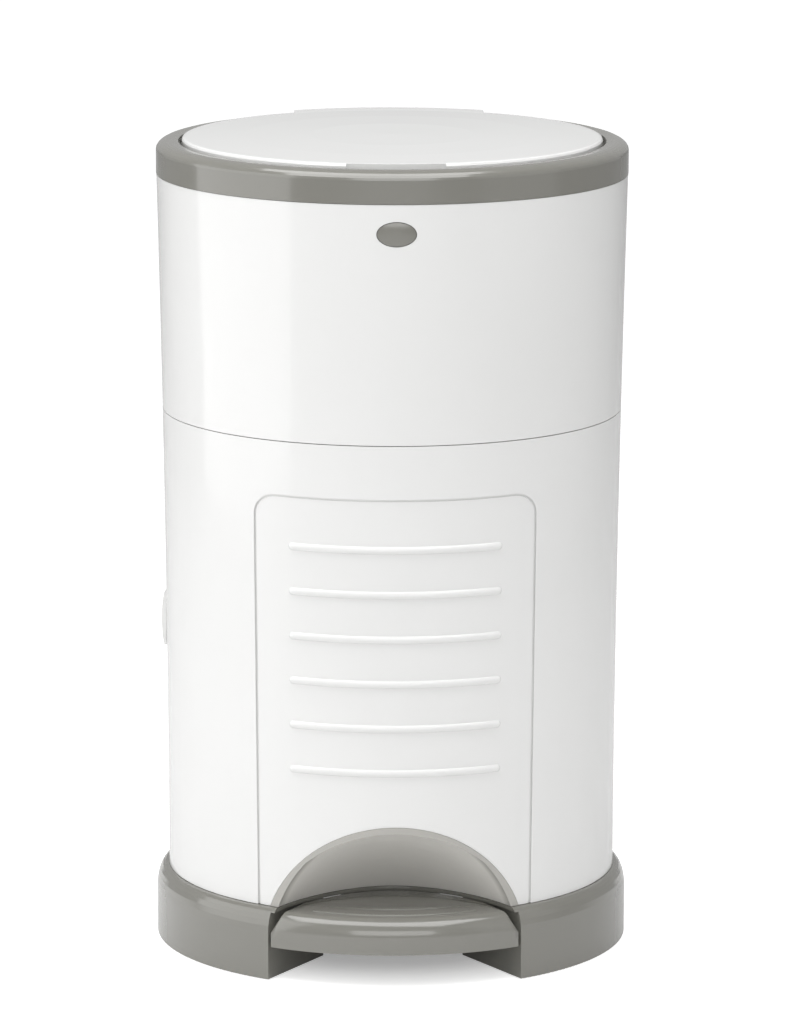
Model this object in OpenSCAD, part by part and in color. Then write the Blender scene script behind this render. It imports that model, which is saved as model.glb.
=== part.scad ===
/* [Body] */
// Outer radius of the body where it meets the base
body_foot_r = 137.65; // [130:0.05:145]
// Straight part of the body's outward flare, mm per mm of height
body_flare = 0.00186; // [0:0.0001:0.005]
// Growing part of the body's flare, mm per mm squared
body_belly = 0.0000265; // [0:0.000001:0.00005]
// Wall thickness of the body shells and the door
shell_t = 2.5; // [2:0.1:3]
// Height of the seam between the lower shells and the upper shell
seam_z = 330; // [320:1:340]
// Height of the upper shell's top edge
shell_top_z = 474.2; // [470:0.1:478]
// Visible gap in the seam
seam_gap = 0.5; // [0.3:0.1:0.8]

/* [Base] */
// Outer radius of the base ring
base_r = 145; // [142:0.5:148]
// Height where the base's straight wall ends
base_wall_h = 30; // [26:1:32]
// Height of the base's deck
deck_z = 44; // [42:0.5:46]
// Thickness of the deck and the base wall
base_t = 2.5; // [2:0.1:3]
// Height of the base wall's lower edge above the floor
base_lift = 0.6; // [0.3:0.1:1]
// Half angle of the front cut for the pedal
cut_half_angle = 31.7; // [30:0.1:34]
// Radius where the side walls of the front cut end
cut_inner_r = 81; // [75:1:90]
// Radius of a rubber foot
foot_pad_r = 8.5; // [7:0.5:9.5]
// Height of a rubber foot
foot_pad_h = 3; // [2:0.5:4]
// Distance of the feet from the middle
foot_ring_r = 126; // [120:1:128]

/* [Pedal] */
// Side gap between the pedal and the front cut, as an angle
pedal_side_gap = 0.8; // [0.6:0.1:1.2]
// Lower edge of the pedal's front face
pedal_low_z = 21; // [19:0.5:23]
// Top of the pedal
pedal_top_z = 42; // [41:0.1:42.5]
// Wall of the pedal
pedal_t = 3; // [2.5:0.1:3.5]
// Gap between the pedal and the foot recess, seen from above
pedal_recess_gap = 1.6; // [1.2:0.1:2.5]
// Height of the pedal's pivot
pedal_pivot_z = 18; // [16:0.5:19]
// Radius of the pedal's pin
pedal_pin_r = 2.5; // [2:0.1:3]
// Full pedal travel in degrees
pedal_travel = 5.5; // [4:0.1:5.8]
// Width of the pedal's lever
lever_w = 48; // [40:1:56]

/* [Foot recess] */
// Radius of the arch cut in the door
arch_r = 79; // [76:0.5:82]
// Height of the arch's centre
arch_z = 19; // [17:0.5:21]
// Height of the recess's own axis
niche_z = 12.9; // [11:0.1:15]
// Radius of the recess's mouth
niche_mouth_r = 81.1; // [80:0.1:82]
// Radius of the arc that shapes the recess
niche_arc_r = 148.2; // [145:0.1:152]
// Distance of that arc's centre past the recess's axis
niche_arc_x = 53; // [50:0.5:56]
// Distance of that arc's centre in front of the middle
niche_arc_y = 190; // [188:0.5:192]
// Wall of the recess
niche_t = 2; // [1.6:0.1:2.5]

/* [Door] */
// Distance of the door's hinge line to the right of the middle
door_axis_x = 133.5; // [133:0.1:134]
// Distance of the door's hinge line behind the middle
door_axis_y = 3; // [2:0.5:4]
// Radius of the door's pivot pins
door_pin_r = 1.5; // [1.2:0.1:1.8]
// How far the door's free edge reaches past the middle
door_edge_y = 4.8; // [4:0.1:6]
// Half width of the framed panel at its foot
panel_half_w = 81; // [78:0.5:82]
// Half width of the framed panel at its top
panel_half_w_top = 83.2; // [80:0.1:84]
// Height of the framed panel's top edge
panel_top_z = 297; // [290:1:305]
// Corner radius of the framed panel
panel_corner_r = 12; // [8:1:16]
// Depth of the panel below the frame
panel_depth = 0.7; // [0.4:0.1:1]
// Number of raised ribs on the door
rib_count = 6; // [3:1:7]
// Height of the lowest rib
rib_low_z = 131.2; // [125:0.1:140]
// Distance from rib to rib
rib_pitch = 27.2; // [22:0.1:30]
// Thickness of a rib, top to bottom
rib_d = 5; // [4:0.1:6]
// How far a rib stands out of the panel
rib_rise = 1.5; // [1:0.1:2]
// Half angle that a rib spans
rib_half_angle = 26.2; // [20:0.1:28]

/* [Door lock] */
// Angle of the lock behind the left side
lock_angle = 7; // [5:0.5:10]
// Lower end of the thumb grip
lock_low_z = 178; // [170:1:190]
// Height of the thumb grip
lock_h = 33; // [28:1:36]
// Width of the thumb grip
lock_w = 14; // [11:0.5:16]
// Travel of the lock
lock_travel = 8; // [6:0.5:9]

/* [Head] */
// Height of the rear hinge line
hinge_z = 485; // [484:0.5:486]
// Distance of the rear hinge line behind the middle
hinge_y = 124; // [123:0.5:125]
// Radius of the rear hinge pin
hinge_pin_r = 2; // [1.8:0.1:2.2]
// Outer radius of the rim ring
rim_r = 143.6; // [143:0.1:144.5]
// Lower edge of the rim ring
rim_low_z = 474.5; // [474:0.1:476]
// Height where the rim's outer face starts to roll over
rim_roll_z = 488.6; // [486:0.1:490]
// Crest of the rim
rim_top_z = 494; // [493:0.1:495]
// Inner edge of the rim
rim_inner_r = 130; // [129.6:0.1:130.5]
// Half width of the gap in the rim at the back
rim_gap_half = 61.7; // [61:0.1:63]
// Wall of the rim
rim_t = 2.5; // [2:0.1:3]
// Radius of the funnel's upper edge
funnel_top_r = 114; // [112:0.5:116]
// Radius of the funnel's floor
funnel_floor_r = 86; // [85:0.5:87]
// Height of the funnel's floor
funnel_floor_z = 460; // [459:0.5:461]
// Height of the funnel's flange
funnel_flange_z = 484; // [483:0.5:485]
// Wall of the funnel
funnel_t = 2.2; // [2:0.1:2.5]
// Half width of the square throat
throat_half = 59; // [57:0.5:60]

/* [Lid] */
// Radius of the lid
lid_r = 127.8; // [127:0.1:128.5]
// Height of the lid's middle
lid_top_z = 497.2; // [496.8:0.1:498]
// Height of the lid at its edge
lid_edge_z = 496.1; // [495.5:0.1:496.5]
// Height of the lid's underside
lid_under_z = 493.5; // [493:0.1:494]
// Lower edge of the lid's skirt
lid_skirt_z = 488; // [487:0.5:489]
// Half width of the finger slot
slot_half = 29.4; // [25:0.1:35]
// Depth of the finger slot
slot_depth = 1.8; // [1.5:0.1:2.2]
// Outer radius of the rear tab
tab_r = 143.2; // [142:0.1:143.5]
// Half width of the rear tab
tab_half = 59.3; // [58:0.1:60]
// Lower edge of the rear tab
tab_low_z = 476; // [475:0.5:480]
// Full lid travel in degrees
lid_travel = 72; // [60:1:75]

/* [Linkage] */
// Rise of the push rod over the lid's whole travel
rod_rise = 9.8; // [8:0.1:10]
// Distance of the push rod behind the middle
rod_y = 121.5; // [121:0.1:122]
// Width of the push rod
rod_w = 12; // [10:0.5:14]
// Thickness of the push rod
rod_t = 5; // [4:0.1:5.5]
// Radius of the cranks on the lid and the flaps
crank_r = 8.34; // [8:0.01:8.6]
// Radius of a crank's nose
nose_r = 2.5; // [2:0.1:3]
// Width of a crank's arm
crank_w = 2.6; // [2.2:0.1:3]
// Underside of the lift yoke
yoke_z = 440.3; // [439.5:0.1:441]
// Thickness of the lift yoke
yoke_t = 4; // [3.5:0.1:4.2]
// Height of the flaps' hinge line
trap_z = 452; // [451.5:0.1:452.5]
// Distance of the flaps' hinge lines from the middle
trap_x = 62; // [61.5:0.1:62.5]
// Radius of the flaps' pins
trap_pin_r = 1.5; // [1.3:0.1:1.7]
// Thickness of a flap
trap_t = 3; // [2.5:0.1:3.2]

/* [Button] */
// Width of the release button
button_w = 23.1; // [20:0.1:26]
// Height of the release button
button_h = 14.2; // [12:0.1:16]
// Height of the button's middle
button_z = 456.7; // [455:0.1:458]
// Travel of the button
button_travel = 3; // [2:0.1:3.2]

/* [Refill] */
// Outer radius of the refill cassette
cassette_r = 114; // [110:0.5:115]
// Radius of the cassette's hole
cassette_hole_r = 91; // [90:0.5:93]
// Height of the ledge that carries the cassette
ledge_z = 377; // [372:1:384]
// Thickness of that ledge
ledge_t = 3; // [2.5:0.1:4]
// Height of the ledge's collar
ledge_collar_h = 8; // [5:0.5:12]
// Wall of the ledge's collar
ledge_collar_t = 3; // [2:0.1:4]
// Where the brackets under the ledge start
bracket_r = 112; // [105:1:125]
// Height of a bracket
bracket_h = 28; // [20:1:32]
// Thickness of a bracket
bracket_t = 2; // [1.6:0.1:3]
// Top of the cassette
cassette_top_z = 435.5; // [425:0.5:436]
// Wall of the cassette
cassette_t = 1.6; // [1.2:0.1:2]
// Number of folds in the film pack
fold_count = 14; // [8:1:18]

/* [Fits] */
// Gap between parts that sit on each other but may move
seat_gap = 0.3; // [0.25:0.05:0.35]
// Radial clearance of a pin in its bore
run_fit = 0.05; // [0.03:0.01:0.1]
// Gap between a trim part and its opening
trim_gap = 0.4; // [0.3:0.05:0.6]

/* [Hidden] */
$fn = 96;
tiny = 0.01;
shoulder_w = 7;
far = 400;
function body_r(z) = body_foot_r + body_flare*(z - deck_z) + body_belly*pow(z - deck_z, 2);
function steps(a, b, n) = [for (i = [0:n]) a + (b - a)*i/n];
function turned(list) = [for (i = [len(list) - 1:-1:0]) list[i]];
rod_reach = rod_rise/sin(pedal_travel);
pedal_pivot_y = rod_y - rod_reach;
crank_phase = lid_travel/2;
nose_dy = crank_r*cos(crank_phase);
nose_dz = crank_r*sin(crank_phase);
yoke_top_z = yoke_z + yoke_t;
pedal_half_angle = cut_half_angle - pedal_side_gap;
door_low_z = deck_z + seat_gap;
barrel_inset = 0.25;
door_top_z = seam_z;
flange_r = rim_inner_r + rim_t - 0.2;
rod_top_z = yoke_z - seat_gap;
channel_t = 2;
channel_inner = rod_w/2 + 0.7;
channel_half = channel_inner + channel_t;
channel_y0 = rod_y - rod_t/2 - 0.9 - channel_t;
channel_y1 = body_foot_r - shell_t - 1;
lever_rear_z = 28;
rod_foot_r = 3;
post_x = 30;
post_y = hinge_y - 9;
post_r = 3;
arm_x = 67.6;
arm_w = 7;
lug_x = 36;
lug_w = 6;
pad_y1 = hinge_y - 5.8;
rim_end_w = 5;
ear_x = tab_half + seat_gap;
ear_w = rim_gap_half - seat_gap - ear_x;
guide_y = 129.5;
catch_y = guide_y - 11.4;
catch_t = 2.5;
lid_boss_r = 4.6;
liner_r = funnel_top_r - 3;
liner_z = lid_under_z - 6.5;
seal_r = lid_r - 7.3;
white = [0.93, 0.93, 0.92];
grey = [0.62, 0.62, 0.59];

// Turned band that follows the body between two heights, inset from the outer face
module body_band(z0, z1, inset, t, n = 8) {
    outer = [for (z = steps(z0, z1, n)) [body_r(z) - inset, z]];
    inner = [for (z = steps(z0, z1, n)) [body_r(z) - inset - t, z]];
    rotate_extrude() polygon(concat(outer, turned(inner)));
}

// Solid turned plug inside the body's outer face
module body_plug(z0, z1, inset = 0, n = 8) {
    outer = [for (z = steps(z0, z1, n)) [body_r(z) - inset, z]];
    rotate_extrude() polygon(concat([[0, z0]], outer, [[0, z1]]));
}

// Wedge seen from above, open to the front
module front_wedge(half_angle, reach = 200) {
    polygon([[0, 0], [-reach*sin(half_angle), -reach*cos(half_angle)],
        [-reach*tan(half_angle)*0.5, -reach*1.5], [reach*tan(half_angle)*0.5, -reach*1.5],
        [reach*sin(half_angle), -reach*cos(half_angle)]]);
}

// Box from one corner to the other
module span(a, b) {
    translate(a) cube(b - a);
}

// Round bar along X, centred on the middle plane
module bar_x(r, half, y, z) {
    translate([-half, y, z]) rotate([0, 90, 0]) cylinder(r = r, h = 2*half);
}

// Flat plate from two points of a side view, given from x0 to x1
module side_plate(x0, x1) {
    translate([x0, 0, 0]) rotate([90, 0, 90]) linear_extrude(x1 - x0) children();
}

// Outline of the base wall and its shoulder, shifted inwards
function base_outline(inset) = concat(
    [[base_r - inset, base_lift], [base_r - inset, base_wall_h]],
    [for (a = [15:15:75]) [base_r - shoulder_w + (shoulder_w - inset)*cos(a),
        base_wall_h + (deck_z - base_wall_h - inset)*sin(a)]],
    [[base_r - shoulder_w, deck_z - inset]]);

// Meridian of the foot recess, grown outwards by t
function niche_point(a, t) = [-niche_arc_x + (niche_arc_r + t)*cos(a),
    -niche_arc_y + (niche_arc_r + t)*sin(a)];
function niche_angle(t) = acos((niche_mouth_r + t + niche_arc_x)/(niche_arc_r + t));
function niche_apex(t) = acos(niche_arc_x/(niche_arc_r + t));

// Space of the foot recess, grown outwards by t
module niche_space(t = 0) {
    a0 = niche_angle(t);
    a1 = niche_apex(t);
    arc = [for (a = steps(a0, a1, 14)) niche_point(a, t)];
    translate([0, 0, niche_z]) rotate([-90, 0, 0])
        rotate_extrude() polygon(concat([[0, -170]], [[niche_mouth_r + t, -170]], arc));
}

// Plan of the recess at the deck
module niche_plan(gap = 0) {
    h = deck_z - niche_z;
    xs = steps(-76, 76, 30);
    function arc_y(x) = -niche_arc_y + sqrt(pow(niche_arc_r, 2) - pow(sqrt(x*x + h*h) + niche_arc_x, 2));
    polygon(concat([[-90, -170]], [[-90, arc_y(76) - gap]], [for (x = xs) [x, arc_y(x) - gap]],
        [[90, arc_y(76) - gap]], [[90, -170]]));
}

module foot_places() {
    for (a = [50, 130, 230, 310]) rotate([0, 0, a - 90]) translate([foot_ring_r, 0, 0]) children();
}

module base_ring() {
    color(grey) difference() {
        union() {
            difference() {
                rotate_extrude() polygon(concat(base_outline(0), [[0, deck_z], [0, deck_z - base_t]],
                    turned(base_outline(base_t))));
                translate([0, 0, base_lift - 1]) linear_extrude(deck_z + 2) intersection() {
                    front_wedge(cut_half_angle);
                    niche_plan();
                }
                translate([0, 0, base_lift - 1]) linear_extrude(deck_z - base_t + 1 - base_lift)
                    difference() {
                        front_wedge(cut_half_angle);
                        circle(r = cut_inner_r);
                    }
            }
            intersection() {
                for (s = [-1, 1]) rotate([0, 0, s*cut_half_angle])
                    span([min(s, 0)*base_t, -base_r, base_lift],
                        [max(s, 0)*base_t, -cut_inner_r, deck_z - 1]);
                rotate_extrude() polygon(concat([[0, base_lift]], base_outline(1), [[0, deck_z - 1]]));
            }
            foot_places() translate([0, 0, foot_pad_h])
                cylinder(r = foot_pad_r + 1.5, h = deck_z - 1 - foot_pad_h);
            for (s = [-1, 1]) side_plate(s*(lever_w/2 + 3.3) - 2, s*(lever_w/2 + 3.3) + 2)
                union() {
                    translate([pedal_pivot_y, pedal_pivot_z]) circle(r = 7);
                    translate([pedal_pivot_y - 7, pedal_pivot_z]) square([14, deck_z - 1 - pedal_pivot_z]);
                }
            translate([door_axis_x, door_axis_y, 34]) cylinder(r = 4.5, h = deck_z - 1 - 34);
        }
        bar_x(pedal_pin_r + run_fit, 60, pedal_pivot_y, pedal_pivot_z);
        translate([door_axis_x, door_axis_y, 37]) cylinder(r = door_pin_r + run_fit, h = 20);
        span([-rod_w/2 - 0.7, rod_y - rod_t/2 - 0.9, deck_z - 6],
            [rod_w/2 + 0.7, rod_y + rod_t/2 + 0.9, deck_z + 6]);
    }
}

module rubber_feet() {
    color([0.2, 0.2, 0.2]) foot_places() rotate_extrude() polygon([[0, 0], [foot_pad_r - 1, 0],
        [foot_pad_r, 1], [foot_pad_r, foot_pad_h], [0, foot_pad_h]]);
}

// Side view of the pedal's lever, lowered by drop
module lever_outline(drop = 0) {
    front_y = base_r - 27;
    polygon([[-front_y, 33], [-60, 27], [pedal_pivot_y - 6, pedal_pivot_z - 7 - drop*0.2],
        [pedal_pivot_y + 6, pedal_pivot_z - 7], [rod_y + 6, lever_rear_z - 7 - drop],
        [rod_y + 6, lever_rear_z - drop], [rod_y - 8, lever_rear_z - drop],
        [pedal_pivot_y + 14, lever_rear_z - 1 - drop], [pedal_pivot_y - 6, lever_rear_z + 2 - drop],
        [-62, 38 - drop], [-72, pedal_top_z - 2 - drop],
        [-front_y, pedal_top_z - 2 - drop]]);
}

module pedal() {
    roll = 6;
    outer = concat([[base_r, pedal_low_z]], [for (a = [0:15:90])
        [base_r - roll + roll*cos(a), pedal_top_z - roll + roll*sin(a)]]);
    inner = concat([for (a = [90:-15:0]) [base_r - roll + (roll - pedal_t)*cos(a),
        pedal_top_z - roll + (roll - pedal_t)*sin(a)]], [[base_r - pedal_t, pedal_low_z]]);
    color(grey) difference() {
        union() {
            intersection() {
                rotate_extrude() polygon(concat([[20, pedal_top_z - pedal_t], [20, pedal_top_z]],
                    turned(outer), turned(inner)));
                linear_extrude(60) intersection() {
                    front_wedge(pedal_half_angle);
                    niche_plan(pedal_recess_gap);
                }
            }
            intersection() {
                for (s = [-1, 1]) rotate([0, 0, s*pedal_half_angle])
                    span([s > 0 ? -pedal_t : 0, -base_r + 1.2, pedal_low_z + 7],
                        [s > 0 ? 0 : pedal_t, -60, pedal_top_z - 1]);
                linear_extrude(60) niche_plan(pedal_recess_gap);
            }
            for (s = [1, 2]) intersection() {
                translate([0, 12 - 14*s, pedal_top_z - 1]) difference() {
                    cylinder(r = 115.8, h = 1.9);
                    translate([0, 0, -1]) cylinder(r = 114.2, h = 4);
                }
                linear_extrude(60) front_wedge(20 + 2.5*s);
            }
            difference() {
                side_plate(-lever_w/2, lever_w/2) lever_outline();
                side_plate(-lever_w/2 + pedal_t, lever_w/2 - pedal_t) lever_outline(pedal_t);
            }
            bar_x(7, lever_w/2 + 1, pedal_pivot_y, pedal_pivot_z);
        }
        bar_x(pedal_pin_r + run_fit, 60, pedal_pivot_y, pedal_pivot_z);
    }
}

module pedal_pin() {
    color("silver") bar_x(pedal_pin_r, lever_w/2 + 7, pedal_pivot_y, pedal_pivot_z);
}

module push_rod() {
    foot_z = lever_rear_z + seat_gap + rod_foot_r;
    head_r = rod_t/2;
    color("silver") union() {
        bar_x(rod_foot_r, rod_w/2, rod_y, foot_z);
        span([-rod_w/2, rod_y - rod_t/2, foot_z], [rod_w/2, rod_y + rod_t/2, rod_top_z - head_r]);
        bar_x(head_r, rod_w/2, rod_y, rod_top_z - head_r);
    }
}

module rod_channel() {
    color(white) difference() {
        span([-channel_half, channel_y0, deck_z], [channel_half, channel_y1, ledge_z - ledge_t]);
        span([-channel_inner, channel_y0 + channel_t, deck_z - 1], [channel_inner, channel_y1 + 1, ledge_z]);
    }
}

// Barrel of the door's hinge, which follows the body's outer face
module door_barrel(z0, z1, grow = 0) {
    translate([door_axis_x, door_axis_y, 0]) rotate_extrude() polygon(concat([[0, z0]],
        [for (z = steps(z0, z1, 6)) [body_r(z) - barrel_inset - door_axis_x + grow, z]], [[0, z1]]));
}

// Place on the left side where the lock works
module at_lock() {
    rotate([0, 0, 180 - lock_angle]) children();
}

module rear_shell() {
    color(white) difference() {
        body_band(deck_z, seam_z, 0, shell_t);
        span([-far, -far, deck_z - 1], [0, door_edge_y + seat_gap, seam_z + 1]);
        translate([0, door_axis_y + body_r(deck_z) - door_axis_x + seat_gap, deck_z])
            rotate([-atan((body_r(seam_z) - body_r(deck_z))/(seam_z - deck_z)), 0, 0])
                span([-tiny, -far, -20], [far, 0, seam_z]);
        body_band(seam_z - 4, seam_z + 1, shell_t/2 - 0.15, shell_t, 1);
        at_lock() span([120, -4, lock_low_z + 7.7], [150, 4, lock_low_z + 8 + 17.3 + lock_travel]);
    }
}

module upper_shell() {
    low_z = seam_z + seam_gap;
    color(white) difference() {
        union() {
            body_band(low_z, shell_top_z, 0, shell_t);
            intersection() {
                body_band(seam_z - 3.7, low_z + tiny, shell_t/2 + 0.15, shell_t/2 - 0.15, 1);
                span([-far, door_axis_y + body_r(seam_z) - door_axis_x + 2.5, 0], [far, far, far]);
            }
            body_band(low_z, low_z + 2.5, shell_t - tiny, 7, 1);
            for (a = [22.5:45:360]) rotate([0, 0, a])
                side_plate(-bracket_t/2, bracket_t/2) polygon([[bracket_r, ledge_z - ledge_t],
                    [body_r(ledge_z - ledge_t) - 1, ledge_z - ledge_t],
                    [body_r(ledge_z - bracket_h) - 1, ledge_z - bracket_h]]);
            intersection() {
                translate([door_axis_x, door_axis_y, low_z]) cylinder(r = 5.5, h = 12);
                body_plug(low_z, low_z + 20, 1, 2);
            }
            for (s = [-1, 1]) hinge_ear(s);
            intersection() {
                for (s = [-1, 1]) span([s*15 - 1, -150, button_z - 9], [s*15 + 1, 3 - guide_y, button_z + 9]);
                body_plug(button_z - 12, button_z + 12, 1, 2);
            }
            span([-16, -guide_y, button_z - 9], [16, 3 - guide_y, button_z + 9]);
        }
        translate([0, -100, button_z]) rotate([90, 0, 0]) linear_extrude(60)
            oval(button_w + 2*trim_gap, button_h + 2*trim_gap);
        translate([0, -100, button_z]) rotate([90, 0, 0]) cylinder(r = 3 + 0.1, h = 35);
        translate([door_axis_x, door_axis_y, low_z - 8]) cylinder(r = door_pin_r + run_fit, h = 16);
        bar_x(hinge_pin_r + run_fit, 80, hinge_y, hinge_z);
        span([-channel_half - seat_gap, channel_y0 - seat_gap, low_z - 1],
            [channel_half + seat_gap, channel_y1 + seat_gap, ledge_z]);
        hinge_clear_space();
    }
}

// Ring that stands on the upper shell's brackets and carries the refill
module cassette_ledge() {
    inner_r = cassette_hole_r - ledge_collar_t - 1;
    color(white) difference() {
        union() {
            translate([0, 0, ledge_z - ledge_t])
                cylinder(r = body_r(ledge_z - ledge_t) - shell_t - seat_gap, h = ledge_t);
            translate([0, 0, ledge_z - tiny]) cylinder(r = cassette_hole_r - 1, h = ledge_collar_h);
        }
        translate([0, 0, ledge_z - ledge_t - 1]) cylinder(r = inner_r, h = ledge_t + ledge_collar_h + 2);
        span([-rod_w/2 - 2, rod_y - rod_t/2 - 2, ledge_z - 10],
            [rod_w/2 + 2, rod_y + rod_t/2 + 3, ledge_z + 12]);
    }
}

// Room that the turning rim and lid need in the upper shell
module hinge_clear_space() {
    difference() {
        union() {
            bar_x(12.6, 75, hinge_y, hinge_z);
            span([-62, 100, 469.5], [62, 160, 500]);
        }
        for (s = [-1, 1]) span([s*(ear_x + ear_w/2) - ear_w/2 - 0.001, hinge_y - 6, 400],
            [s*(ear_x + ear_w/2) + ear_w/2 + 0.001, hinge_y + 6, 500]);
    }
}

module hinge_ear(s) {
    x0 = s > 0 ? ear_x : -ear_x - ear_w;
    wall_y = sqrt(pow(body_r(462) - 1, 2) - pow(ear_x + ear_w, 2));
    side_plate(x0, x0 + ear_w) union() {
        translate([hinge_y, hinge_z]) circle(r = 5);
        polygon([[hinge_y - 5, hinge_z], [hinge_y - 5, 466], [wall_y - 2, 456], [wall_y, 456],
            [wall_y, 468], [hinge_y + 5, 470], [hinge_y + 5, hinge_z]]);
    }
}

// Ellipse by its two axes
module oval(w, h) {
    polygon([for (a = [0:7.5:359]) [w/2*cos(a), h/2*sin(a)]]);
}

// Outline of the framed panel, seen from the front
module panel_outline(grow = 0) {
    w0 = panel_half_w + grow;
    w1 = panel_half_w_top + grow;
    top = panel_top_z + grow;
    c = panel_corner_r + grow;
    polygon(concat([[-w0, 30], [w0, 30]],
        [for (a = [0:10:90]) [w1 - c + c*cos(a), top - c + c*sin(a)]],
        [for (a = [90:10:180]) [-w1 + c + c*cos(a), top - c + c*sin(a)]]));
}

// Space in front of the panel, down to a given depth in the wall
module panel_cut(grow, depth) {
    intersection() {
        translate([0, -60, 0]) rotate([90, 0, 0]) linear_extrude(120) panel_outline(grow);
        body_band(30, panel_top_z + 10, -5, 5 + depth);
    }
}

module door_rib(z) {
    face = body_r(z) - panel_depth;
    r = face + rib_rise - rib_d/2;
    translate([0, 0, z]) rotate([0, 0, -90 - rib_half_angle]) rotate_extrude(angle = 2*rib_half_angle)
        translate([r, 0]) intersection() {
            circle(d = rib_d);
            translate([face - 0.9 - r, -rib_d]) square(2*rib_d);
        }
}

module front_door() {
    color(white) difference() {
        union() {
            difference() {
                body_band(door_low_z, door_top_z, 0, shell_t);
                span([-far, door_edge_y, 0], [0, far, far]);
                span([-tiny, door_axis_y, 0], [far, far, far]);
                panel_cut(0, panel_depth);
                difference() {
                    panel_cut(1, panel_depth + 0.5);
                    panel_cut(-0.4, panel_depth + 1);
                }
            }
            door_barrel(door_low_z, door_top_z);
            for (i = [0:rib_count - 1]) door_rib(rib_low_z + i*rib_pitch);
            body_band_front(door_top_z - 6, door_top_z - 3.5, 4);
            intersection() {
                at_lock() span([129.5, 14, lock_low_z + 10 + lock_travel + 0.5],
                    [136.5, 17, lock_low_z + 30]);
                body_plug(lock_low_z, lock_low_z + 60, 1, 2);
            }
        }
        arch_bar();
        for (z = [door_low_z - 1, door_top_z - 12]) translate([door_axis_x, door_axis_y, z])
            cylinder(r = door_pin_r + run_fit, h = 13);
    }
}

// Inner stiffening band of the door between its edges
module body_band_front(z0, z1, t) {
    difference() {
        body_band(z0, z1, shell_t - tiny, t, 1);
        span([-far, door_edge_y - 6, 0], [far, far, far]);
    }
}

// Bar along the arch's axis, grown outwards
module arch_bar(grow = 0) {
    translate([0, 0, arch_z]) rotate([90, 0, 0]) cylinder(r = arch_r + grow, h = 200);
}

module foot_recess() {
    z1 = arch_z + arch_r + 14;
    behind = shell_t + 0.1;
    color(grey) difference() {
        intersection() {
            union() {
                intersection() {
                    arch_bar(-0.15);
                    union() {
                        niche_space(niche_t);
                        body_band(door_low_z, z1, -1, 1 + behind + niche_t, 3);
                    }
                }
                intersection() {
                    body_plug(door_low_z, z1, behind, 3);
                    union() {
                        niche_space(niche_t);
                        intersection() {
                            arch_bar(5);
                            body_band(door_low_z, z1, behind, niche_t, 3);
                        }
                    }
                }
            }
            body_plug(door_low_z, z1, 0, 3);
        }
        niche_space();
    }
}

module door_pins() {
    color("silver") union() {
        translate([door_axis_x, door_axis_y, 37.5]) cylinder(r = door_pin_r, h = 17.5);
        translate([door_axis_x, door_axis_y, door_top_z - 11]) cylinder(r = door_pin_r, h = 18);
    }
}

module door_lock() {
    r_out = body_r(lock_low_z + lock_h + lock_travel) + seat_gap;
    r_in = body_r(lock_low_z) - shell_t - seat_gap;
    teeth = floor((lock_h - 8)/2.6);
    color(white) at_lock() union() {
        difference() {
            intersection() {
                span([r_out, -lock_w/2, lock_low_z], [r_out + 3, lock_w/2, lock_low_z + lock_h]);
                rotate([90, 0, 0]) translate([r_out - 90, lock_low_z + lock_h/2, -lock_w])
                    cylinder(r = 93, h = 2*lock_w);
            }
            for (i = [0:teeth - 1]) translate([r_out + 3.1, -lock_w/2 - 1, lock_low_z + 5 + 2.6*i])
                rotate([0, 45, 0]) cube([1, lock_w + 2, 1]);
        }
        span([r_in - 2, -3.5, lock_low_z + 8], [r_out + 1, 3.5, lock_low_z + 25]);
        span([r_in - 2.4, -7, lock_low_z + 6], [r_in, 7, lock_low_z + 27]);
        span([129.5, -7, lock_low_z + 6], [r_in - 2.2, 21, lock_low_z + 10]);
        span([129.5, 18, lock_low_z + 6], [r_in - 2.2, 21, lock_low_z + 16]);
    }
}

module bag_cutter() {
    color(grey) difference() {
        intersection() {
            span([-27, -140, 298], [27, -119, 316]);
            body_plug(door_top_z - 40, door_top_z - 10, shell_t + 0.1, 2);
        }
        span([-20, -160, 310.5], [20, -125.5, 313]);
        span([-21, -160, 304], [21, -126, 310.5]);
        span([-20, -123.6, 306], [20, -110, 320]);
        span([-17, -124, 312.5], [17, -110, 320]);
    }
}

module cutter_blade() {
    color("silver") side_plate(-19.5, 19.5) polygon([[-125.2, 316], [-124.6, 316], [-124.6, 320],
        [-124.9, 321.5], [-125.2, 320]]);
}

// Back of the button's flange, which rests inside the curved wall
function button_back_y() = 1.8 + seat_gap
    - sqrt(pow(body_r(button_z - button_h/2 - 1.75) - shell_t, 2) - pow(button_w/2 + 1.75, 2));

module release_button() {
    face_y = -body_r(button_z) - 0.7;
    flange_w = button_w + 3.5;
    flange_h = button_h + 3.5;
    in_y = button_back_y() - 1.8;
    color(grey) union() {
        intersection() {
            translate([0, in_y, button_z]) rotate([90, 0, 0]) linear_extrude(12) oval(button_w, button_h);
            translate([0, face_y + 45, button_z]) sphere(r = 45);
        }
        translate([0, in_y + 1.8, button_z]) rotate([90, 0, 0]) linear_extrude(1.8) oval(flange_w, flange_h);
        translate([0, 5 - guide_y, button_z]) rotate([90, 0, 0]) cylinder(r = 3, h = 14);
        span([-11, 4 - guide_y, button_z - 5], [11, 5.5 - guide_y, button_z + 5]);
        for (s = [-1, 1]) span([s*10 - 1, 4.5 - guide_y, button_z - 3],
            [s*10 + 1, -catch_y + 4, button_z + 3]);
        span([-11, -catch_y + 0.8, button_z - 3], [11, -catch_y + 4, button_z + 3]);
    }
}

module button_spring() {
    len = -button_back_y() - guide_y - button_travel - 2*seat_gap;
    color("silver") translate([0, -guide_y - button_travel - seat_gap, button_z]) rotate([90, 0, 0])
        linear_extrude(height = len, twist = -360*2.5, slices = 40, $fn = 8)
            translate([4.3, 0]) circle(r = 0.6, $fn = 8);
}

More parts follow.
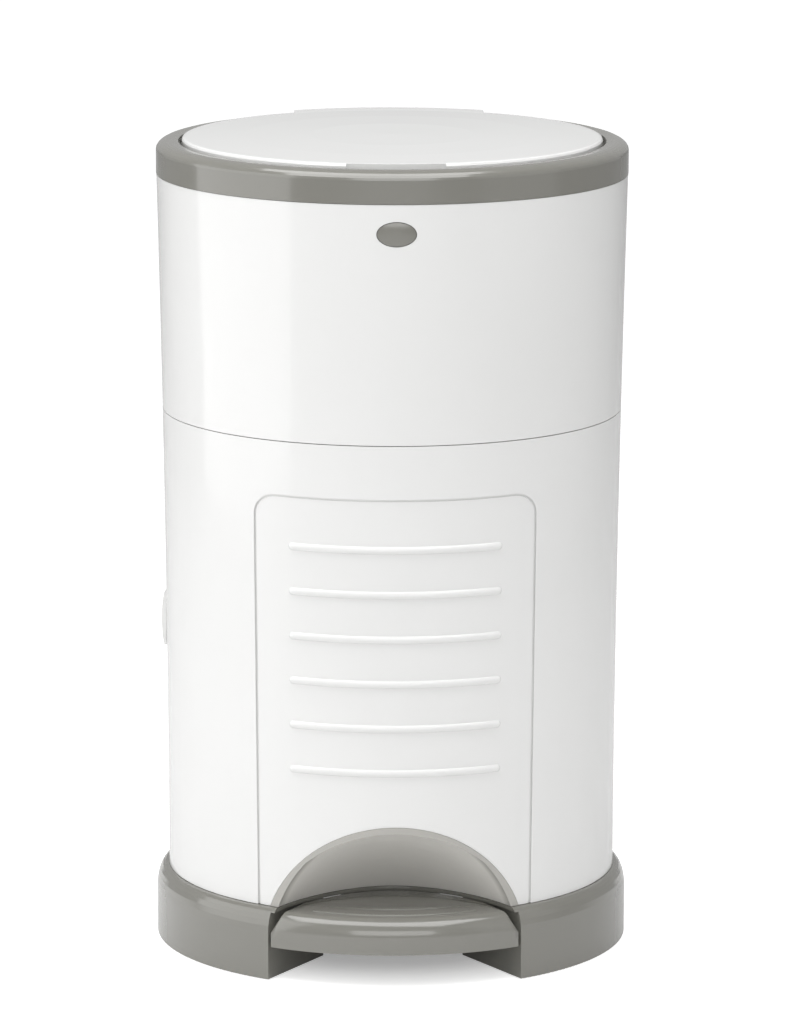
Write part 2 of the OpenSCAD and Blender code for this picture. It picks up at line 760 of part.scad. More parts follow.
// Outline of the rim from its foot over the crest to its inner edge
function rim_outline(inset) = concat([[rim_r - inset, rim_low_z], [rim_r - inset, rim_roll_z]],
    [for (a = [15:15:90]) [rim_r - 8.1 + (8.1 - inset)*cos(a),
        rim_roll_z + (rim_top_z - rim_roll_z - inset)*sin(a)]],
    [[rim_inner_r + inset, rim_top_z - 0.4 - inset], [rim_inner_r + inset, funnel_flange_z]]);

module rim_ring() {
    color(grey) difference() {
        union() {
            rotate_extrude() polygon(concat(rim_outline(0), turned(rim_outline(rim_t))));
            intersection() {
                rotate_extrude() polygon([[rim_r - 5, 471], [rim_r - 3.6, 471], [rim_r - 3.6, rim_low_z],
                    [rim_r - 1.6, rim_low_z], [rim_r - 1.6, rim_low_z + 2.2], [rim_r - 5, rim_low_z + 2.2]]);
                span([-far, -far, 0], [far, 30, far]);
            }
            intersection() {
                rotate_extrude() polygon(concat(rim_outline(0), [[rim_inner_r, rim_low_z]]));
                for (s = [-1, 1]) span([s*(rim_gap_half + rim_end_w/2) - rim_end_w/2, 90, 400],
                    [s*(rim_gap_half + rim_end_w/2) + rim_end_w/2, 150, 510]);
            }
        }
        span([-rim_gap_half, 60, 400], [rim_gap_half, 200, 510]);
        bar_x(hinge_pin_r + run_fit, 80, hinge_y, hinge_z);
    }
}

module funnel() {
    z1 = funnel_flange_z;
    z0 = funnel_floor_z;
    color(white) difference() {
        union() {
            rotate_extrude() polygon([[0, z0 - funnel_t], [funnel_floor_r + 1, z0 - funnel_t],
                [funnel_top_r + 1.5, z1 - funnel_t], [flange_r, z1 - funnel_t], [flange_r, z1],
                [funnel_top_r, z1], [funnel_floor_r, z0], [0, z0]]);
            for (s = [-1, 1]) {
                side_ear(s, -62.5, -58.2, z0 + 4);
                side_ear(s, 67, 71, z0 + 8);
            }
        }
        rotate_extrude() polygon([[0, z0], [funnel_floor_r, z0], [funnel_top_r, z1],
            [funnel_top_r, z1 + 9], [0, z1 + 9]]);
        span([-throat_half, -throat_half + 1, z0 - 10], [throat_half, throat_half - 1, z0 + 10]);
        for (s = [-1, 1]) translate([s*trap_x, -80, trap_z]) rotate([-90, 0, 0])
            cylinder(r = trap_pin_r + run_fit, h = 160);
        span([-70, 118.5, 470], [70, 200, 500]);
        for (s = [-1, 1]) span([s*(lug_x + lug_w/2) - lug_w/2 - 1.5, pad_y1 - 7.5, funnel_flange_z - 6],
            [s*(lug_x + lug_w/2) + lug_w/2 + 1.5, 200, 500]);
        for (s = [-1, 1]) span([s*(rim_gap_half + rim_end_w/2) - rim_end_w/2 - seat_gap,
            sqrt(pow(rim_inner_r, 2) - pow(rim_gap_half + rim_end_w, 2)) - seat_gap, funnel_flange_z - 6],
            [s*(rim_gap_half + rim_end_w/2) + rim_end_w/2 + seat_gap, 200, 500]);
    }
}

// Ear under the funnel that holds a flap's pin
module side_ear(s, y0, y1, top) {
    span([s*trap_x - 4, y0, trap_z - 4], [s*trap_x + 4, y1, top]);
}

module head_catch() {
    top = funnel_flange_z - funnel_t;
    color(grey) union() {
        span([-7, -catch_y - catch_t, 449.5], [7, -catch_y, top]);
        span([-7, -catch_y - catch_t, 449.5], [7, -catch_y + 0.4, 453.5]);
        span([-7, -catch_y - 8.9, top - 2.5], [7, -catch_y, top]);
    }
}

module hinge_pin() {
    color("silver") bar_x(hinge_pin_r, rim_gap_half + 5, hinge_y, hinge_z);
}

// Flat crank with a round nose, in the side view, around the origin
module crank_shape(boss_r) {
    a = 180 + crank_phase;
    union() {
        circle(r = boss_r);
        translate([-nose_dy, -nose_dz]) circle(r = nose_r);
        rotate(a) translate([0, -crank_w/2]) square([crank_r, crank_w]);
    }
}

module trap_flap() {
    top = funnel_floor_z - funnel_t - 0.5;
    difference() {
        union() {
            span([0.6, -57.5, top - trap_t], [trap_x + 1.5, 57.5, top]);
            span([trap_x - 3.5, -57.5, trap_z], [trap_x + 1.5, 57.5, top - trap_t + tiny]);
            translate([trap_x, -57.5, trap_z]) rotate([-90, 0, 0]) cylinder(r = 3.5, h = 124);
            translate([trap_x, 66.5, trap_z]) rotate([90, 0, 0]) mirror([1, 0, 0])
                linear_extrude(6) crank_shape(3.5);
            for (y = [-38, 0, 38]) span([8, y - 1, top - trap_t - 3],
                [trap_x - 2, y + 1, top - trap_t + tiny]);
        }
        translate([trap_x, -80, trap_z]) rotate([-90, 0, 0]) cylinder(r = trap_pin_r + run_fit, h = 160);
    }
}

module trap_left() {
    color(grey) mirror([1, 0, 0]) trap_flap();
}

module trap_right() {
    color(grey) trap_flap();
}

module trap_pins() {
    color("silver") for (s = [-1, 1]) translate([s*trap_x, -62.5, trap_z]) rotate([-90, 0, 0])
        cylinder(r = trap_pin_r, h = 133.5);
}

module lift_yoke() {
    riser_top = hinge_z - nose_dz - nose_r - seat_gap;
    color(grey) difference() {
        union() {
            span([-arm_x - arm_w, hinge_y - 20, yoke_z], [arm_x + arm_w, hinge_y - 12, yoke_top_z]);
            span([-lug_x - lug_w, hinge_y - 16, yoke_z], [lug_x + lug_w, rod_y + rod_t/2 + 1.5, yoke_top_z]);
            for (s = [-1, 1]) {
                span([min(s*arm_x, s*(arm_x + arm_w)), throat_half - 1, yoke_z],
                    [max(s*arm_x, s*(arm_x + arm_w)), hinge_y - 19, yoke_top_z]);
                span([min(s*lug_x, s*(lug_x + lug_w)), pad_y1 - 6, yoke_z],
                    [max(s*lug_x, s*(lug_x + lug_w)), pad_y1 - 2, riser_top]);
                span([min(s*lug_x, s*(lug_x + lug_w)), pad_y1 - 6, riser_top - 3],
                    [max(s*lug_x, s*(lug_x + lug_w)), pad_y1, riser_top]);
            }
        }
        for (s = [-1, 1]) translate([s*post_x, post_y, yoke_z - 5]) cylinder(r = post_r + run_fit, h = 20);
    }
}

module yoke_posts() {
    color("silver") for (s = [-1, 1]) translate([s*post_x, post_y, 0]) {
        translate([0, 0, yoke_z - seat_gap - 3]) cylinder(r = post_r + 2, h = 3);
        translate([0, 0, yoke_z - seat_gap - 1])
            cylinder(r = post_r, h = funnel_flange_z - funnel_t - yoke_z + seat_gap + 1);
    }
}

module lid() {
    color(white) difference() {
        union() {
            rotate_extrude() polygon([[0, lid_under_z], [lid_r - 2.5, lid_under_z],
                [lid_r - 2.5, lid_skirt_z], [lid_r, lid_skirt_z], [lid_r, lid_edge_z - 1.6], [lid_r - 0.6, lid_edge_z - 0.6],
                [lid_r - 2, lid_edge_z - 0.05], [lid_r - 4, lid_edge_z + 0.05], [90, lid_edge_z + 0.55],
                [50, lid_top_z - 0.15], [0, lid_top_z]]);
            intersection() {
                lid_tab();
                span([-tab_half, 100, 400], [tab_half, 160, 510]);
            }
            for (s = [-1, 1]) side_plate(s*(lug_x + lug_w/2) - lug_w/2, s*(lug_x + lug_w/2) + lug_w/2)
                translate([hinge_y, hinge_z]) union() {
                    crank_shape(lid_boss_r);
                    translate([-lid_boss_r, 0]) square([2*lid_boss_r, lid_under_z - hinge_z + 0.5]);
                }
        }
        intersection() {
            translate([0, 0, 480]) difference() {
                cylinder(r = 140, h = 30);
                translate([0, 0, -1]) cylinder(r = lid_r - slot_depth, h = 32);
            }
            span([-slot_half, -200, 400], [slot_half, 0, 600]);
        }
        bar_x(hinge_pin_r + run_fit, 80, hinge_y, hinge_z);
        for (s = [-1, 1]) {
            span([s*71 - 14, hinge_y - 28, 480], [s*71 + 14, hinge_y, lid_skirt_z + 3.6]);
        }
    }
}

// Turned outline of the lid's rear tab
module lid_tab() {
    top = lid_edge_z + 0.1;
    roll_r = 8;
    roll_h = 7;
    rotate_extrude() polygon(concat([[120, top - 2.7], [120, top], [tab_r - roll_r, top]],
        [for (a = [75:-15:0]) [tab_r - roll_r + roll_r*cos(a), top - roll_h + roll_h*sin(a)]],
        [[tab_r, tab_low_z], [tab_r - 2.5, tab_low_z], [tab_r - 2.5, top - roll_h]],
        [for (a = [15:15:90]) [tab_r - roll_r + (roll_r - 2.5)*cos(a),
            top - roll_h + (roll_h - 2.7)*sin(a)]]));
}

module lid_liner() {
    color(white) rotate_extrude() polygon([[0, liner_z + 2], [liner_r - 3, liner_z + 2],
        [liner_r - 3, lid_under_z], [liner_r, lid_under_z], [liner_r, liner_z + 1.6],
        [liner_r - 2, liner_z], [0, liner_z]]);
}

module lid_seal() {
    z = funnel_flange_z + seat_gap;
    color([0.25, 0.25, 0.25]) rotate_extrude() polygon([[seal_r - 3.5, lid_under_z], [seal_r, lid_under_z],
        [seal_r, z + 3], [seal_r - 0.9, z], [seal_r - 2.5, z], [seal_r - 3.5, z + 3]]);
}

module refill_cassette() {
    z0 = ledge_z;
    color([0.75, 0.8, 0.85]) rotate_extrude() polygon([[cassette_hole_r, z0], [cassette_r, z0],
        [cassette_r, cassette_top_z - 6], [cassette_r + 0.8, cassette_top_z - 5],
        [cassette_r + 0.8, cassette_top_z - 3],
        [cassette_r - cassette_t, cassette_top_z - 3], [cassette_r - cassette_t, z0 + cassette_t],
        [cassette_hole_r + cassette_t, z0 + cassette_t], [cassette_hole_r + cassette_t, cassette_top_z],
        [cassette_hole_r, cassette_top_z]]);
}

module film_pack() {
    z0 = ledge_z + cassette_t;
    z1 = cassette_top_z - 8;
    r0 = cassette_hole_r + cassette_t + 0.4;
    r1 = cassette_r - cassette_t - 0.4;
    pitch = (z1 - z0)/fold_count;
    color([0.9, 0.9, 0.95]) rotate_extrude() polygon(concat(
        [[r0, z0]],
        [for (i = [0:fold_count - 1]) each [[r1 - 1.2, z0 + i*pitch], [r1, z0 + (i + 0.5)*pitch]]],
        [[r1 - 1.2, z1], [r0, z1]]));
}

base_ring();
rubber_feet();
pedal();
pedal_pin();
push_rod();
rod_channel();
rear_shell();
upper_shell();
cassette_ledge();
front_door();
foot_recess();
door_pins();
door_lock();
bag_cutter();
cutter_blade();
release_button();
button_spring();
rim_ring();
funnel();
head_catch();
hinge_pin();
trap_left();
trap_right();
trap_pins();
lift_yoke();
yoke_posts();
lid();
lid_liner();
lid_seal();
refill_cassette();
film_pack();
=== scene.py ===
"""Dresses the nappy bin: moulded finishes, two formed pieces, studio light and camera."""
import logging
import math
from dataclasses import dataclass, field
from enum import Enum
from typing import Dict, List, Optional, Sequence, Tuple

import bmesh
import bpy
from mathutils import Matrix, Vector

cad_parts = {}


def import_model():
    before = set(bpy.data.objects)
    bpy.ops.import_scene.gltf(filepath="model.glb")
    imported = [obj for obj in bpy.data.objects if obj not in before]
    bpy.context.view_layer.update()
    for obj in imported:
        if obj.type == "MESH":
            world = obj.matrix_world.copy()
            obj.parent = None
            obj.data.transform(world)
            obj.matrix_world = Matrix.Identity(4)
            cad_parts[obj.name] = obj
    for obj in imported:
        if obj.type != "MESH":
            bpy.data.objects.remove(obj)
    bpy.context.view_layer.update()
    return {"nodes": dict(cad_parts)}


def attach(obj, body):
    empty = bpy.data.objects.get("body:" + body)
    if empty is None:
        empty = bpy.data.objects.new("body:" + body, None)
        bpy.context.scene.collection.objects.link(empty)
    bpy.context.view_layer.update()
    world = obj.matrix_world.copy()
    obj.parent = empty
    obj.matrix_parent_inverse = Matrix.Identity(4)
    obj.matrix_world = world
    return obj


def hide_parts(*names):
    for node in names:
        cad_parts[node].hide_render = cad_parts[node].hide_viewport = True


LOG = logging.getLogger("nappy_bin")
MM = 0.001

# Distances in millimetres within which points are joined: as formed, and after a trim.
WELD = 0.001
TRIM_WELD = 0.005

# Sockets of a Mix node that blends colours.
MIX_FACTOR, MIX_A, MIX_B, MIX_RESULT = 0, 6, 7, 2

Rgb = Tuple[float, float, float]
Point = Tuple[float, float, float]


def srgb(red: int, green: int, blue: int) -> Rgb:
    """Turns a screen colour into a linear one.

    Args:
        red: Red from 0 to 255.
        green: Green from 0 to 255.
        blue: Blue from 0 to 255.

    Returns:
        The linear colour.
    """
    def linear(value: int) -> float:
        """Linear value of one channel."""
        v = value / 255.0
        return v / 12.92 if v <= 0.04045 else ((v + 0.055) / 1.055) ** 2.4
    return linear(red), linear(green), linear(blue)


def map_range(nodes: bpy.types.Nodes, source: Tuple[float, float] = (0.0, 1.0),
              result: Tuple[float, float] = (0.0, 1.0), smooth: bool = False) -> bpy.types.Node:
    """Adds a node that turns one range of values into another.

    Args:
        nodes: Nodes of the tree to add to.
        source: Values where the change starts and ends.
        result: What they turn into.
        smooth: Whether the change eases in and out.

    Returns:
        The node.
    """
    ramp = nodes.new("ShaderNodeMapRange")
    ramp.interpolation_type = "SMOOTHSTEP" if smooth else "LINEAR"
    for label, value in zip(("From Min", "From Max", "To Min", "To Max"), (*source, *result)):
        ramp.inputs[label].default_value = value
    return ramp


def colour_mix(nodes: bpy.types.Nodes) -> bpy.types.Node:
    """Adds a node that blends two colours.

    Args:
        nodes: Nodes of the tree to add to.

    Returns:
        The node.
    """
    mix = nodes.new("ShaderNodeMix")
    mix.data_type = "RGBA"
    return mix


class Grain(Enum):
    """Moulding textures of the bin's plastics: scale of the grain, and its depth in metres."""

    POLISHED = (260.0, 0.00001)
    SATIN = (1400.0, 0.00004)
    SPARK = (2600.0, 0.00008)


def moulded_group() -> bpy.types.ShaderNodeTree:
    """Builds the shared surface group: faint colour drift, gloss drift and moulding grain.

    Returns:
        The node group, with colour, roughness and height outputs.
    """
    name = "MouldedSurface"
    if name in bpy.data.node_groups:
        return bpy.data.node_groups[name]
    tree = bpy.data.node_groups.new(name, "ShaderNodeTree")
    face = tree.interface
    face.new_socket("Base", in_out="INPUT", socket_type="NodeSocketColor")
    face.new_socket("Shade", in_out="INPUT", socket_type="NodeSocketColor")
    for label in ("Drift Scale", "Grain Scale", "Roughness Low", "Roughness High"):
        face.new_socket(label, in_out="INPUT", socket_type="NodeSocketFloat")
    face.new_socket("Color", in_out="OUTPUT", socket_type="NodeSocketColor")
    for label in ("Roughness", "Height"):
        face.new_socket(label, in_out="OUTPUT", socket_type="NodeSocketFloat")
    nodes, links = tree.nodes, tree.links
    given = nodes.new("NodeGroupInput")
    result = nodes.new("NodeGroupOutput")
    place = nodes.new("ShaderNodeTexCoord")
    drift = nodes.new("ShaderNodeTexNoise")
    grain = nodes.new("ShaderNodeTexNoise")
    for noise, scale, detail in ((drift, "Drift Scale", 3.0), (grain, "Grain Scale", 2.0)):
        noise.inputs["Detail"].default_value = detail
        links.new(place.outputs["Object"], noise.inputs["Vector"])
        links.new(given.outputs[scale], noise.inputs["Scale"])
    mix = colour_mix(nodes)
    links.new(drift.outputs["Fac"], mix.inputs[MIX_FACTOR])
    links.new(given.outputs["Base"], mix.inputs[MIX_A])
    links.new(given.outputs["Shade"], mix.inputs[MIX_B])
    links.new(mix.outputs[MIX_RESULT], result.inputs["Color"])
    gloss = map_range(nodes)
    links.new(drift.outputs["Fac"], gloss.inputs["Value"])
    links.new(given.outputs["Roughness Low"], gloss.inputs["To Min"])
    links.new(given.outputs["Roughness High"], gloss.inputs["To Max"])
    links.new(gloss.outputs["Result"], result.inputs["Roughness"])
    links.new(grain.outputs["Fac"], result.inputs["Height"])
    return tree


@dataclass(frozen=True)
class Finish:
    """A procedural finish made from the shared moulded surface group.

    Attributes:
        name: Name of the material.
        base: Main colour.
        shade: Colour that the main one drifts to.
        roughness: Lowest and highest roughness.
        metallic: Metallic value.
        coat: Weight of the clear skin that polish leaves.
        grain: Moulding texture.
        sheen_level: Strength of the mirror part, 0.5 for plain plastic.
        painted_light_colour: Colour that the piece lightens to behind its lip, if any: painted
            light, which stands in for the light that falls inside the recess.
        painted_light_span: Distance from the Z axis, in metres, where that painted light starts
            and ends.
        coat_roughness: Roughness of the clear skin.
        drift_scale: Scale of the colour drift.
        grain_strength: Strength of the grain's bump.
    """

    name: str
    base: Rgb
    shade: Rgb
    roughness: Tuple[float, float]
    metallic: float = 0.0
    coat: float = 0.0
    grain: Grain = Grain.POLISHED
    sheen_level: float = 0.5
    painted_light_colour: Optional[Rgb] = None
    painted_light_span: Tuple[float, float] = (0.1365, 0.130)
    coat_roughness: float = 0.06
    drift_scale: float = 9.0
    grain_strength: float = 0.5

    def painted_light_blend(self, tree: bpy.types.ShaderNodeTree,
                  colour: bpy.types.NodeSocket) -> bpy.types.NodeSocket:
        """Blends a colour into the painted light colour, by distance from the object's Z axis:
        painted light, lighter behind the lip than at it.

        Args:
            tree: Tree of the material.
            colour: Colour outside the span.

        Returns:
            The blended colour.
        """
        nodes, links = tree.nodes, tree.links
        place = nodes.new("ShaderNodeTexCoord")
        level = nodes.new("ShaderNodeVectorMath")
        level.operation = "MULTIPLY"
        level.inputs[1].default_value = (1.0, 1.0, 0.0)
        reach = nodes.new("ShaderNodeVectorMath")
        reach.operation = "LENGTH"
        # Painted light: this mask rises from the lip towards the inside of the recess.
        behind = map_range(nodes, self.painted_light_span)
        blend = colour_mix(nodes)
        blend.inputs[MIX_B].default_value = (*self.painted_light_colour, 1.0)
        links.new(place.outputs["Object"], level.inputs[0])
        links.new(level.outputs["Vector"], reach.inputs[0])
        links.new(reach.outputs["Value"], behind.inputs["Value"])
        links.new(behind.outputs["Result"], blend.inputs[MIX_FACTOR])
        links.new(colour, blend.inputs[MIX_A])
        return blend.outputs[MIX_RESULT]

    def material(self) -> bpy.types.Material:
        """Builds the material, or returns it if it exists.

        Returns:
            The material.
        """
        if self.name in bpy.data.materials:
            return bpy.data.materials[self.name]
        made = bpy.data.materials.new(self.name)
        made.use_nodes = True
        nodes, links = made.node_tree.nodes, made.node_tree.links
        grain_scale, grain_depth = self.grain.value
        shader = nodes["Principled BSDF"]
        shader.inputs["Metallic"].default_value = self.metallic
        shader.inputs["Coat Weight"].default_value = self.coat
        shader.inputs["Coat Roughness"].default_value = self.coat_roughness
        shader.inputs["Specular IOR Level"].default_value = self.sheen_level
        surface = nodes.new("ShaderNodeGroup")
        surface.node_tree = moulded_group()
        surface.inputs["Base"].default_value = (*self.base, 1.0)
        surface.inputs["Shade"].default_value = (*self.shade, 1.0)
        surface.inputs["Drift Scale"].default_value = self.drift_scale
        surface.inputs["Grain Scale"].default_value = grain_scale
        surface.inputs["Roughness Low"].default_value = self.roughness[0]
        surface.inputs["Roughness High"].default_value = self.roughness[1]
        bump = nodes.new("ShaderNodeBump")
        bump.inputs["Distance"].default_value = grain_depth
        bump.inputs["Strength"].default_value = self.grain_strength
        colour = surface.outputs["Color"]
        # Painted light behind the recess's lip, for finishes that have it.
        if self.painted_light_colour is not None:
            colour = self.painted_light_blend(made.node_tree, colour)
        links.new(colour, shader.inputs["Base Color"])
        links.new(surface.outputs["Roughness"], shader.inputs["Roughness"])
        links.new(surface.outputs["Height"], bump.inputs["Height"])
        links.new(bump.outputs["Normal"], shader.inputs["Normal"])
        return made


WHITE_GLOSS = Finish("white_gloss_plastic", srgb(231, 231, 230), srgb(227, 227, 226),
                     (0.1, 0.14), coat=0.1)
WARM_GREY = Finish("warm_grey_gloss_plastic", srgb(126, 125, 119), srgb(122, 121, 114),
                   (0.14, 0.19), coat=0.5, sheen_level=0.7)
# The recess is grey plastic; the lighter colour inside its lip is painted light.
SOFT_GREY = Finish("soft_grey_plastic", srgb(178, 176, 171), srgb(173, 171, 166),
                   (0.42, 0.5), grain=Grain.SATIN, painted_light_colour=srgb(228, 226, 221))
SATIN_WHITE = Finish("satin_white_plastic", srgb(228, 228, 226), srgb(222, 222, 219),
                     (0.38, 0.46), grain=Grain.SATIN)
SATIN_GREY = Finish("satin_grey_plastic", srgb(128, 128, 124), srgb(120, 120, 116),
                    (0.4, 0.5), grain=Grain.SATIN)
DRAWN_STEEL = Finish("drawn_steel", srgb(190, 190, 192), srgb(170, 170, 173),
                     (0.25, 0.38), metallic=1.0)
FOOT_RUBBER = Finish("foot_rubber", srgb(38, 38, 38), srgb(30, 30, 30),
                     (0.7, 0.85), grain=Grain.SPARK)
SEAL_RUBBER = Finish("seal_rubber", srgb(82, 82, 84), srgb(74, 74, 76),
                     (0.55, 0.7), grain=Grain.SATIN)
CASSETTE_BLUE = Finish("cassette_plastic", srgb(196, 208, 220), srgb(188, 200, 214),
                       (0.3, 0.4), grain=Grain.SATIN)
FOLDED_FILM = Finish("folded_film", srgb(226, 230, 240), srgb(206, 212, 228),
                     (0.18, 0.3), coat=0.2)

NODE_FINISHES: Dict[str, Finish] = {
    "base_ring": WARM_GREY,
    "rubber_feet": FOOT_RUBBER,
    "pedal": WARM_GREY,
    "pedal_pin": DRAWN_STEEL,
    "push_rod": SATIN_GREY,
    "rod_channel": SATIN_WHITE,
    "rear_shell": WHITE_GLOSS,
    "upper_shell": WHITE_GLOSS,
    "cassette_ledge": SATIN_WHITE,
    "front_door": WHITE_GLOSS,
    "foot_recess": SOFT_GREY,
    "door_pins": DRAWN_STEEL,
    "door_lock": WHITE_GLOSS,
    "bag_cutter": SATIN_GREY,
    "cutter_blade": DRAWN_STEEL,
    "release_button": WARM_GREY,
    "button_spring": DRAWN_STEEL,
    "rim_ring": WARM_GREY,
    "funnel": SATIN_WHITE,
    "head_catch": SATIN_GREY,
    "hinge_pin": DRAWN_STEEL,
    "trap_left": SATIN_GREY,
    "trap_right": SATIN_GREY,
    "trap_pins": DRAWN_STEEL,
    "lift_yoke": SATIN_GREY,
    "yoke_posts": DRAWN_STEEL,
    "lid": WHITE_GLOSS,
    "lid_liner": SATIN_WHITE,
    "lid_seal": SEAL_RUBBER,
    "refill_cassette": CASSETTE_BLUE,
    "film_pack": FOLDED_FILM,
}


@dataclass(frozen=True)
class BodyForm:
    """Turned form of the body, in millimetres.

    Attributes:
        foot_r: Radius where the body meets the base.
        flare: Straight part of the outward flare.
        belly: Growing part of the flare.
        deck_z: Height where the body starts.
    """

    foot_r: float = 137.65
    flare: float = 0.00186
    belly: float = 0.0000265
    deck_z: float = 44.0

    def radius(self, z: float) -> float:
        """Outer radius at a height.

        Args:
            z: Height.

        Returns:
            The radius in millimetres.
        """
        rise = z - self.deck_z
        return self.foot_r + self.flare * rise + self.belly * rise * rise


@dataclass
class FormedPiece:
    """A piece that mesh operators form in millimetres, in the object's frame.

    Attributes:
        name: Name of the object.
        body: Body that it moves with.
        finish: Finish that it wears.
        swaps: CAD nodes that it stands in for.
        smooth_angle: Largest angle in degrees that is shaded smooth.
    """

    name: str
    body: str
    finish: Finish
    swaps: Tuple[str, ...] = ()
    smooth_angle: float = 35.0

    def form(self, bm: bmesh.types.BMesh) -> None:
        """Forms the piece.

        Args:
            bm: Empty mesh to fill.
        """
        raise NotImplementedError

    def build(self) -> bpy.types.Object:
        """Forms the piece, dresses it and hangs it on its body.

        Returns:
            The new object.
        """
        bm = bmesh.new()
        self.form(bm)
        bmesh.ops.remove_doubles(bm, verts=bm.verts, dist=WELD)
        bmesh.ops.recalc_face_normals(bm, faces=bm.faces)
        bmesh.ops.scale(bm, vec=Vector((MM, MM, MM)), verts=bm.verts)
        limit = math.radians(self.smooth_angle)
        for face in bm.faces:
            face.smooth = True
        for edge in bm.edges:
            edge.smooth = len(edge.link_faces) == 2 and edge.calc_face_angle(0.0) < limit
        mesh = bpy.data.meshes.new(self.name)
        bm.to_mesh(mesh)
        bm.free()
        mesh.materials.append(self.finish.material())
        thing = bpy.data.objects.new(self.name, mesh)
        bpy.context.scene.collection.objects.link(thing)
        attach(thing, self.body)
        for node in self.swaps:
            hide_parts(node)
        LOG.info("formed %s: %d faces", self.name, len(mesh.polygons))
        return thing


def outline_face(bm: bmesh.types.BMesh,
                 points: Sequence[Sequence[float]]) -> bmesh.types.BMFace:
    """Makes one flat face from a closed outline.

    Args:
        bm: Mesh to add to.
        points: Corners in order.

    Returns:
        The face.
    """
    return bm.faces.new([bm.verts.new(point) for point in points])


def end_cap(face: bmesh.types.BMFace) -> None:
    """Leaves a flipped copy of a face, which closes what is drawn out of that face.

    Args:
        face: Face that is drawn out next.
    """
    face.copy().normal_flip()


def pull(bm: bmesh.types.BMesh, face: bmesh.types.BMFace, shift: Sequence[float]) -> None:
    """Draws a face out into a closed block.

    Args:
        bm: Mesh to work on.
        face: Face to draw out.
        shift: Direction and length.
    """
    end_cap(face)
    made = bmesh.ops.extrude_face_region(bm, geom=[face])
    verts = [item for item in made["geom"] if isinstance(item, bmesh.types.BMVert)]
    bmesh.ops.translate(bm, vec=Vector(shift), verts=verts)


@dataclass(frozen=True)
class Bead:
    """A round bead along an arc at the front, with domed ends, in millimetres.

    Attributes:
        centre: Centre of the arc.
        arc_r: Radius of the arc.
        bead_r: Radius of the bead.
        half_angle: Half of the angle that it spans, in degrees, without its domes.
        flat: Height of the bead as a share of its width.
        steps: Steps along the arc.
        tip_steps: Steps over each dome.
        segments: Corners round the bead.
    """

    centre: Point
    arc_r: float
    bead_r: float
    half_angle: float
    flat: float = 1.0
    steps: int = 56
    tip_steps: int = 6
    segments: int = 20

    def stations(self) -> List[Tuple[float, float]]:
        """Lists where the bead's rings stand.

        Returns:
            The angle of each ring in degrees, and its size as a share of the bead's.
        """
        along = [(-self.half_angle + 2 * self.half_angle * i / self.steps, 1.0)
                 for i in range(self.steps + 1)]
        dome = math.degrees(self.bead_r / self.arc_r)
        tips = []
        for i in range(1, self.tip_steps):
            over = math.radians(90 * i / self.tip_steps)
            tips.append((self.half_angle + dome * math.sin(over), math.cos(over)))
        return [(-angle, size) for angle, size in reversed(tips)] + along + tips

    def sweep(self, bm: bmesh.types.BMesh) -> None:
        """Adds the bead to a mesh.

        Args:
            bm: Mesh to add to.
        """
        rings = []
        for angle, size in self.stations():
            turn = (Matrix.Translation(self.centre)
                    @ Matrix.Rotation(math.radians(angle - 90.0), 4, "Z")
                    @ Matrix.Translation((self.arc_r, 0.0, 0.0))
                    @ Matrix.Rotation(math.radians(90.0), 4, "X")
                    @ Matrix.Diagonal((1.0, self.flat, 1.0, 1.0)))
            made = bmesh.ops.create_circle(bm, cap_ends=False, segments=self.segments,
                                           radius=self.bead_r * size, matrix=turn)
            rings.append(list({edge for vert in made["verts"] for edge in vert.link_edges}))
        for first, second in zip(rings, rings[1:]):
            bmesh.ops.bridge_loops(bm, edges=first + second)
        for ring in (rings[0], rings[-1]):
            bmesh.ops.edgenet_fill(bm, edges=ring)


@dataclass
class DoorRibs(FormedPiece):
    """Raised ribs on the door's panel, with domed ends, in millimetres.

    Attributes:
        form_of_body: Turned form that the ribs follow.
        count: Number of ribs.
        low_z: Height of the lowest rib.
        pitch: Distance from rib to rib.
        bead_r: Radius of a rib.
        rise: How far a rib stands out from the panel.
        panel_depth: How far the panel lies behind the body's form.
        half_angle: Half of the angle that a rib spans, in degrees.
    """

    form_of_body: BodyForm = field(default_factory=BodyForm)
    count: int = 6
    low_z: float = 131.2
    pitch: float = 27.2
    bead_r: float = 2.55
    rise: float = 1.55
    panel_depth: float = 0.7
    half_angle: float = 26.3

    def form(self, bm: bmesh.types.BMesh) -> None:
        """Sweeps one bead per rib.

        Args:
            bm: Empty mesh to fill.
        """
        for i in range(self.count):
            z = self.low_z + i * self.pitch
            arc_r = self.form_of_body.radius(z) - self.panel_depth + self.rise - self.bead_r
            Bead((0.0, 0.0, z), arc_r, self.bead_r, self.half_angle).sweep(bm)


